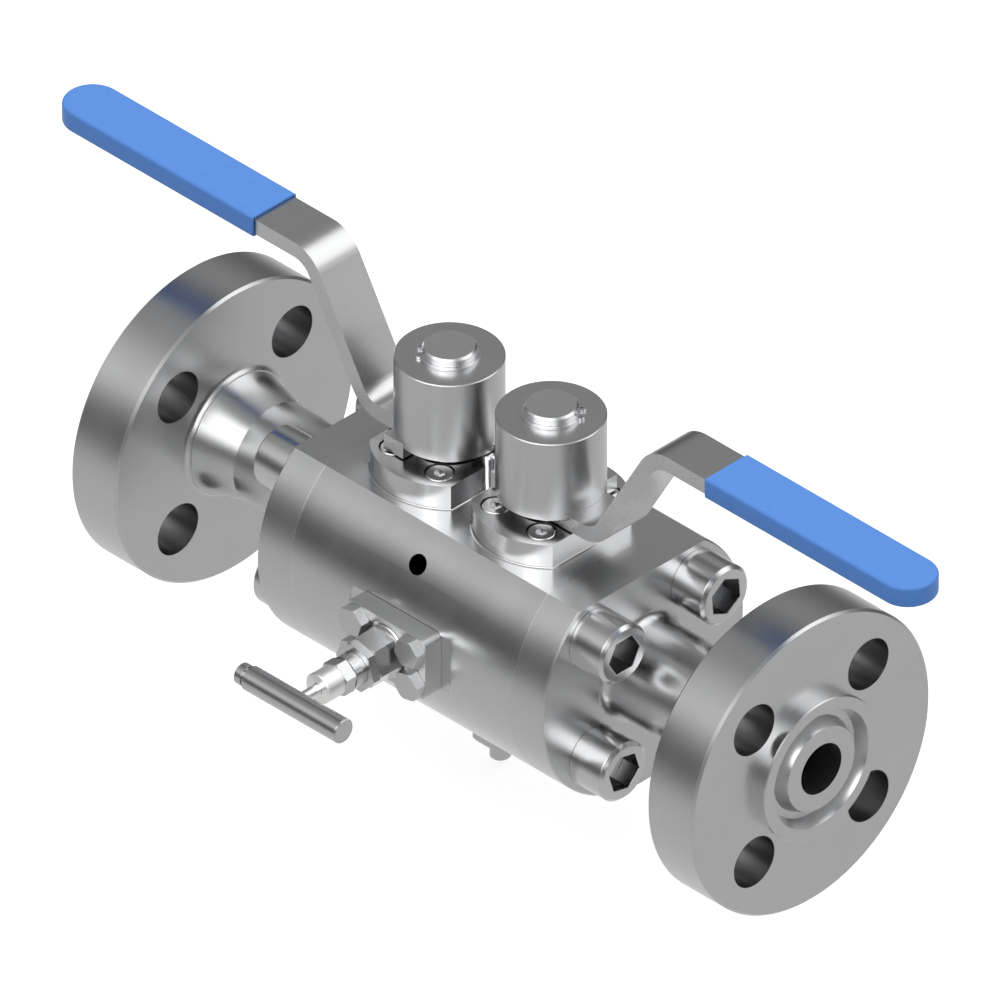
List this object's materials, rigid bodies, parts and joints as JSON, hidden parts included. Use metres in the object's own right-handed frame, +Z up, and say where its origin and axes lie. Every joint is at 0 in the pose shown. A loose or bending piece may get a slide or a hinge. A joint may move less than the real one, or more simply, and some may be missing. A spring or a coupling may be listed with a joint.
{
  "type": "double block and bleed valve",
  "caption": "Stainless steel double ball valve with flanged ends, stem caps with sleeved hand levers and a needle bleed valve with a cross handle.",
  "frame": {"origin": "centre of the inlet flange's raised sealing face, where the flow bore opens", "axes": "+X along the flow bore to the outlet, +Y away from the bleed handle, +Z up along the stems"},
  "size_m": [0.5406, 0.211, 0.2287],
  "materials": {
    "machined_steel": "satin machined stainless steel",
    "bright_steel": "fine ground stainless steel",
    "bolt_steel": "turned and rolled stainless fastener",
    "spring_steel": "dark spring steel",
    "bleed_cap_finish": "light fine turned steel",
    "blue_sleeve": "soft dipped vinyl, slight sheen",
    "seal_rubber": "black O-ring rubber",
    "seat_polymer": "off-white sealing polymer",
    "graphite": "pressed graphite",
    "bonded_seal": "bonded sealing washer"
  },
  "bodies": {
    "valve": {"valve_body": "machined_steel", "inlet_connector": "machined_steel", "outlet_connector": "machined_steel", "inlet_end_screws": "bolt_steel", "outlet_end_screws": "bolt_steel", "inlet_body_seal": "seal_rubber", "outlet_body_seal": "seal_rubber", "inlet_outer_seat": "seat_polymer", "inlet_inner_seat": "seat_polymer", "outlet_inner_seat": "seat_polymer", "outlet_outer_seat": "seat_polymer", "seat_springs": "spring_steel", "seat_seals": "seal_rubber", "inlet_stem_packing": "graphite", "outlet_stem_packing": "graphite", "inlet_gland_follower": "bright_steel", "outlet_gland_follower": "bright_steel", "inlet_gland_plate": "machined_steel", "outlet_gland_plate": "machined_steel", "inlet_gland_screws": "bolt_steel", "outlet_gland_screws": "bolt_steel", "stop_pins": "bright_steel", "bleed_bonnet": "machined_steel", "bleed_plate_screws": "bolt_steel", "bleed_gasket": "seat_polymer", "bleed_seat": "seat_polymer", "bleed_packing": "graphite", "bleed_lock_nut": "machined_steel", "bleed_gland_nut": "machined_steel", "bleed_dust_cap": "bleed_cap_finish", "outlet_fitting": "machined_steel", "outlet_fitting_seal": "bonded_seal"},
    "inlet_drive": {"inlet_ball": "bright_steel", "inlet_stem": "bright_steel", "inlet_thrust_washer": "seat_polymer", "inlet_drive_cap": "machined_steel", "inlet_key": "bolt_steel", "inlet_circlip": "spring_steel", "inlet_lever": "machined_steel", "inlet_lever_sleeve": "blue_sleeve"},
    "outlet_drive": {"outlet_ball": "bright_steel", "outlet_stem": "bright_steel", "outlet_thrust_washer": "seat_polymer", "outlet_drive_cap": "machined_steel", "outlet_key": "bolt_steel", "outlet_circlip": "spring_steel", "outlet_lever": "machined_steel", "outlet_lever_sleeve": "blue_sleeve"},
    "bleed_plug": {"bleed_needle": "bright_steel"},
    "bleed_screw": {"bleed_spindle": "bright_steel", "bleed_handle": "machined_steel", "bleed_handle_pin": "bolt_steel"}
  },
  "joints": [
    {"name": "inlet_lever_turn", "type": "hinge", "parent": "valve", "child": "inlet_drive", "pos_m": [0.17, 0, 0.067], "axis": [0, 0, 1], "range_deg": [0, 90]},
    {"name": "outlet_lever_turn", "type": "hinge", "parent": "valve", "child": "outlet_drive", "pos_m": [0.234, 0, 0.067], "axis": [0, 0, 1], "range_deg": [0, 90]},
    {"name": "bleed_lift", "type": "slide", "parent": "valve", "child": "bleed_plug", "axis": [0, -1, 0], "range_m": [0, 0.0045]},
    {"name": "bleed_turn", "type": "hinge", "parent": "bleed_plug", "child": "bleed_screw", "pos_m": [0.202, -0.1, 0], "axis": [0, -1, 0], "range_deg": [0, 1080]}
  ],
  "couplings": [
    {"joint": "bleed_lift", "follows": "bleed_turn", "m_per_rad": 0.00023873}
  ]
}
